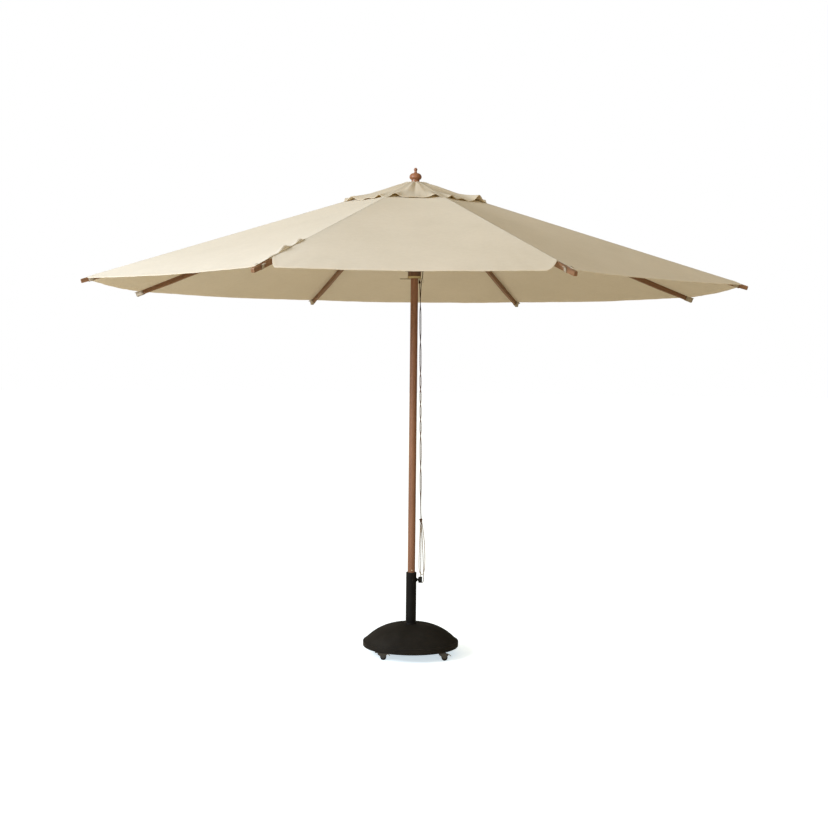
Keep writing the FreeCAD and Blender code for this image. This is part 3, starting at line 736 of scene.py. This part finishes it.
def cloth_shader(name, tint=(1.0, 1.0, 1.0), through=0.24, glow_tint=(1.0, 0.84, 0.58)):
    """Woven canopy cloth with sewn seams and hems, read from uvs in metres."""
    shade = Shader(name, Roughness=0.88, Specular_IOR_Level=0.15, Sheen_Weight=0.04,
                   Sheen_Roughness=0.5)
    place = shade.coords()
    uv = shade.coords("UV")
    beside, from_hem, _ = shade.split(uv)
    broad = shade.noise(place, 2.3, 3.0)
    slub = shade.noise(shade.moved(uv, (1400, 90, 1)), 1.0, 3.0)
    mottle = shade.noise(place, 38.0, 5.0, 0.6)

    def tone(r, g, b):
        return (r * tint[0], g * tint[1], b * tint[2])

    base = shade.ramp(broad, (0.32, tone(0.83, 0.805, 0.715)), (0.68, tone(0.87, 0.845, 0.76)))
    fine = shade.ramp(mottle, (0.30, (0.955, 0.95, 0.94)), (0.70, (1.0, 1.0, 1.0)))
    base = shade.blend(0.8, base, fine, "MULTIPLY")
    hem = band(shade, from_hem, 0.0, HEM_WIDTH - 0.002, 0.002)
    base = shade.blend(shade.maths("MULTIPLY", hem, 0.40), base,
                       (*tone(0.90, 0.86, 0.75), 1))
    dashes = shade.maths("GREATER_THAN", shade.wave(uv, 62.0, 0.0, "X"), 0.35)
    rows = shade.maths("ADD", band(shade, from_hem, 0.004, 0.0005, 0.0004),
                       band(shade, from_hem, 0.026, 0.0005, 0.0004))
    stitches = shade.maths("MULTIPLY", dashes, rows)
    seam_dashes = shade.maths("GREATER_THAN", shade.wave(uv, 62.0, 0.0, "Y"), 0.35)
    distance = shade.maths("ABSOLUTE", beside)
    seam_rows = shade.maths("ADD", band(shade, distance, 0.003, 0.0005, 0.0004),
                            band(shade, distance, 0.0085, 0.0005, 0.0004))
    sewn = shade.maths("MAXIMUM", stitches, shade.maths("MULTIPLY", seam_dashes, seam_rows))
    # Painted shade: along each seam line the cloth is drawn toward its shaded tone.
    seam_painted_shade = band(shade, distance, 0.0, 0.0003, 0.0016)
    base = shade.blend(shade.maths("MULTIPLY", seam_painted_shade, 0.35), base,
                       (*tone(0.46, 0.38, 0.25), 1))
    base = shade.blend(shade.maths("MULTIPLY", sewn, 0.55), base,
                       (*tone(0.88, 0.82, 0.66), 1))
    shade.colour(base)
    shade.roughness(mottle, 0.82, 0.94)
    weave = shade.maths("ADD", shade.wave(uv, 180.0, 0.4, "X"), shade.wave(uv, 180.0, 0.4, "Y"))
    shade.bump(weave, 0.16, 0.0004)
    shade.bump(slub, 0.14, 0.0005)
    shade.bump(shade.maths("ADD", sewn, hem), 0.5, 0.0008)
    puckers = shade.maths("MULTIPLY", shade.noise(shade.moved(place, (26, 26, 26)), 1.0, 2.0),
                          band(shade, from_hem, 0.015, 0.01, 0.03))
    shade.bump(puckers, 0.30, 0.004)
    glow = shade.node("BsdfTranslucent")
    shade.tree.links.new(shade.blend(1.0, base, (*glow_tint, 1), "MULTIPLY"),
                         glow.inputs["Color"])
    mix = shade.node("MixShader", {0: through})
    shade.tree.links.new(shade.surface.outputs[0], mix.inputs[1])
    shade.tree.links.new(glow.outputs[0], mix.inputs[2])
    shade.tree.links.new(mix.outputs[0], shade.tree.nodes["Material Output"].inputs["Surface"])
    return shade.material


def wood_shader(name, dark, mid, light, azimuth=0.0, pitch=0.0, upright=False, gloss=0.42):
    """Oiled hardwood whose grain runs along a rib or strut, or up the pole."""
    shade = Shader(name, Roughness=gloss, Specular_IOR_Level=0.45, Coat_Weight=0.10,
                   Coat_Roughness=0.35)
    place = shade.coords()
    if upright:
        place = shade.moved(place, rotation=(0, math.pi / 2, 0))
    else:
        place = shade.moved(place, rotation=(0, 0, -azimuth))
        place = shade.moved(place, rotation=(0, -pitch, 0))
    broad = shade.noise(shade.moved(place, (1.1, 16, 16), place=(azimuth, 0, 0)), 1.0, 3.0, 0.5,
                        0.6)
    grain = shade.noise(shade.moved(place, (5, 130, 130)), 1.0, 5.0, 0.62, 1.2)
    pores = shade.noise(shade.moved(place, (38, 620, 620)), 1.0, 2.0, 0.5)
    rings = shade.wave(shade.moved(place, (0.9, 26, 26)), 1.4, 5.0, "Y")
    base = shade.ramp(grain, (0.28, dark), (0.50, mid), (0.74, light))
    base = shade.blend(0.42, base, shade.ramp(broad, (0.30, dark), (0.70, light)))
    base = shade.blend(0.22, base, shade.ramp(rings, (0.15, dark), (0.75, light)))
    lines = shade.ramp(pores, (0.30, (0.60, 0.52, 0.46)), (0.44, (1, 1, 1)))
    shade.colour(shade.blend(0.70, base, lines, "MULTIPLY"))
    shade.roughness(grain, gloss - 0.07, gloss + 0.16)
    shade.bump(grain, 0.20, 0.0006)
    shade.bump(pores, 0.30, 0.0004)
    return shade.material


def metal_shader(name, colour, rough, brushed=(60, 60, 900), wear=0.12):
    """Metal with fine brushing and dull patches."""
    shade = Shader(name, Metallic=1.0, Roughness=rough)
    place = shade.coords()
    lines = shade.noise(shade.moved(place, brushed), 1.0, 2.0)
    patches = shade.noise(place, 90.0, 4.0)
    dull = tuple(c * (1 - 2.6 * wear) for c in colour)
    base = shade.blend(0.45, shade.ramp(patches, (0.35, dull), (0.65, colour)), (*colour, 1))
    shade.colour(base)
    shade.roughness(shade.maths("ADD", shade.maths("MULTIPLY", lines, 0.5),
                                shade.maths("MULTIPLY", patches, 0.5)), rough - 0.08, rough + 0.16)
    shade.bump(lines, 0.12, 0.0003)
    return shade.material


def painted_shader(name, colour, rough, grain_scale, grain_depth, dust=0.10, shine=0.35):
    """Cast or painted dark surface: orange peel or sand texture, dust and rubbed spots."""
    shade = Shader(name, Roughness=rough, Specular_IOR_Level=shine)
    place = shade.coords()
    grain = shade.noise(place, grain_scale, 6.0, 0.62)
    cloud = shade.noise(place, 7.0, 4.0, 0.6)
    speck = shade.noise(place, grain_scale * 2.3, 2.0)
    lighter = tuple(min(1.0, c * 1.75 + dust * 0.05) for c in colour)
    base = shade.ramp(cloud, (0.30, colour), (0.72, lighter))
    spots = shade.ramp(speck, (0.60, (1, 1, 1)), (0.70, (1.9, 1.85, 1.75)))
    shade.colour(shade.blend(0.45, base, spots, "MULTIPLY"))
    shade.roughness(grain, rough - 0.10, rough + 0.14)
    shade.bump(grain, 0.35, grain_depth)
    return shade.material


def rubber_shader(name, colour, rough):
    """Dull rubber with worn patches."""
    shade = Shader(name, Roughness=rough, Specular_IOR_Level=0.3)
    place = shade.coords()
    fine = shade.noise(place, 420.0, 3.0)
    broad = shade.noise(place, 60.0, 4.0)
    worn = tuple(c * 1.9 + 0.012 for c in colour)
    shade.colour(shade.ramp(broad, (0.38, colour), (0.72, worn)))
    shade.roughness(broad, rough - 0.06, rough + 0.12)
    shade.bump(fine, 0.30, 0.0003)
    return shade.material


def rope_shader():
    """Natural fibre, pale in the hanging loops and darkened as painted shade under the canopy."""
    shade = Shader("rope_fibre", Roughness=0.9, Specular_IOR_Level=0.15, Sheen_Weight=0.2)
    uv, place = shade.coords("UV"), shade.coords()
    height = shade.maths("DIVIDE", shade.split(place)[2], 3.0)
    # Colour by height: the runs above the loop knot are dark brown, partly as painted shade from
    # the canopy.
    base = shade.ramp(height, (0.16, (0.56, 0.47, 0.36)), (0.255, (0.46, 0.36, 0.25)),
                      (0.275, (0.14, 0.068, 0.028)), (0.45, (0.19, 0.095, 0.036)),
                      (0.56, (0.21, 0.112, 0.050)), (0.60, (0.13, 0.075, 0.060)),
                      (0.66, (0.085, 0.036, 0.018)), (0.80, (0.065, 0.030, 0.014)))
    fibres = shade.noise(shade.moved(uv, (14, 260, 1)), 1.0, 4.0, 0.6, 0.4)
    lines = shade.ramp(fibres, (0.30, (0.62, 0.58, 0.52)), (0.62, (1.0, 1.0, 1.0)))
    shade.colour(shade.blend(0.75, base, lines, "MULTIPLY"))
    shade.bump(fibres, 0.5, 0.0005)
    return shade.material


def dress(nodes, material):
    for name in nodes:
        for place in NODES[name].material_slots:
            place.material = material


def dress_frame():
    """Gives every carried-over node its finish."""
    strut_pitch = -math.radians(20.4)
    for rib in range(RIBS):
        azimuth, number = rib_azimuth(rib), rib + 1
        dress([f"rib_{number}"], wood_shader(
            f"rib_wood_{number}", (0.13, 0.060, 0.028), (0.26, 0.130, 0.064), (0.38, 0.210, 0.112),
            azimuth, SLOPE))
        dress([f"strut_{number}"], wood_shader(
            f"strut_wood_{number}", (0.12, 0.052, 0.024), (0.23, 0.112, 0.056),
            (0.34, 0.18, 0.095), azimuth, strut_pitch))
    dress(["pole"], wood_shader("pole_wood", (0.125, 0.047, 0.024), (0.240, 0.106, 0.057),
                                (0.36, 0.180, 0.102), upright=True))
    # The crown and runner take a darker wood than the pole, darkened partly as painted shade for
    # their place under the canopy.
    dress(["crown", "runner"], wood_shader("turned_wood", (0.055, 0.026, 0.014),
                                           (0.13, 0.062, 0.032), (0.22, 0.11, 0.058),
                                           upright=True, gloss=0.36))
    dress(["finial"], wood_shader("finial_wood", (0.17, 0.062, 0.030), (0.30, 0.118, 0.058),
                                  (0.42, 0.19, 0.10), upright=True, gloss=0.34))
    steel = metal_shader("bracket_steel", (0.50, 0.47, 0.43), 0.38)
    dress(["crown_pins", "runner_pins"] + [f"rib_bracket_{k + 1}" for k in range(RIBS)], steel)
    dress(["runner_ferrule"], metal_shader("ferrule_brass", (0.66, 0.57, 0.36), 0.34,
                                           (30, 30, 1200)))
    dress(["locking_pin"], metal_shader("pin_steel", (0.62, 0.56, 0.46), 0.30, (900, 60, 60)))
    dress(["base_dome"], painted_shader("dome_stone", (0.0095, 0.0086, 0.0074), 0.62, 230.0,
                                        0.0009, 0.08, 0.10))
    paint = painted_shader("base_paint", (0.0045, 0.0045, 0.0047), 0.46, 520.0, 0.0003, 0.03,
                           0.12)
    dress(["base_tube", "base_plate"], paint)
    plastic = painted_shader("black_plastic", (0.0070, 0.0070, 0.0072), 0.48, 700.0, 0.0003,
                             0.04, 0.22)
    dress(["reducer_sleeve", "clamp_knob", "clamp_pad"], plastic)
    dress(["sheave"], painted_shader("sheave_plastic", (0.05, 0.05, 0.05), 0.40, 500.0, 0.0002))
    zinc = metal_shader("caster_steel", (0.115, 0.115, 0.12), 0.38, (200, 200, 200))
    dress(["caster_plates"] + [f"caster_fork_{k}" for k in range(1, 5)], zinc)
    dress(["brake_pedal_1", "brake_pedal_2"],
          metal_shader("pedal_chrome", (0.50, 0.50, 0.51), 0.22, (120, 700, 120), 0.06))
    dress([f"caster_wheel_{k}" for k in range(1, 5)],
          rubber_shader("wheel_rubber", (0.010, 0.010, 0.010), 0.62))


# ---------------------------------------------------------------- small fittings
def screw_head(name, at, facing, radius, material, body):
    """A domed screw head with a dimple in the middle."""
    middle = 0.0001
    profile = ((0.16, 0.30), (0.30, 0.46), (0.62, 0.40), (0.90, 0.20), (1, 0), (0.98, -0.2))
    outline = [(middle, radius * 0.42)]
    outline += [(radius * out, radius * height) for out, height in profile]
    outline.append((middle, -radius * 0.2))
    head = lathe(name, outline, 20, Vector(facing), Vector(at))
    head.data.materials.append(material)
    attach(head, body)


def add_fittings():
    brass = metal_shader("screw_brass", (0.80, 0.70, 0.50), 0.28, (300, 300, 300))
    _, pole_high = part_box("pole")
    screw_head("pole_screw", (0.0035, -pole_high.x + 0.0003, 0.520), (0.15, -1, 0), 0.0042,
               brass, "pole")


add_camera()
add_studio()
add_floor()
canopy_cloth = cloth_shader("canopy_cloth")
add_canopy(canopy_cloth)
cap_cloth = cloth_shader("cap_cloth", (0.97, 0.96, 0.93), 0.30, (1.0, 0.80, 0.42))
add_cap(cap_cloth)
add_cap_patch(cap_cloth)
plain_cloth = cloth_shader("tape_cloth", (0.93, 0.91, 0.86), 0.15)
add_seam_tape(plain_cloth)
add_corner_straps(cloth_shader("strap_cloth", (0.52, 0.46, 0.40), 0.06))
add_rope(rope_shader())
dress_frame()
add_fittings()
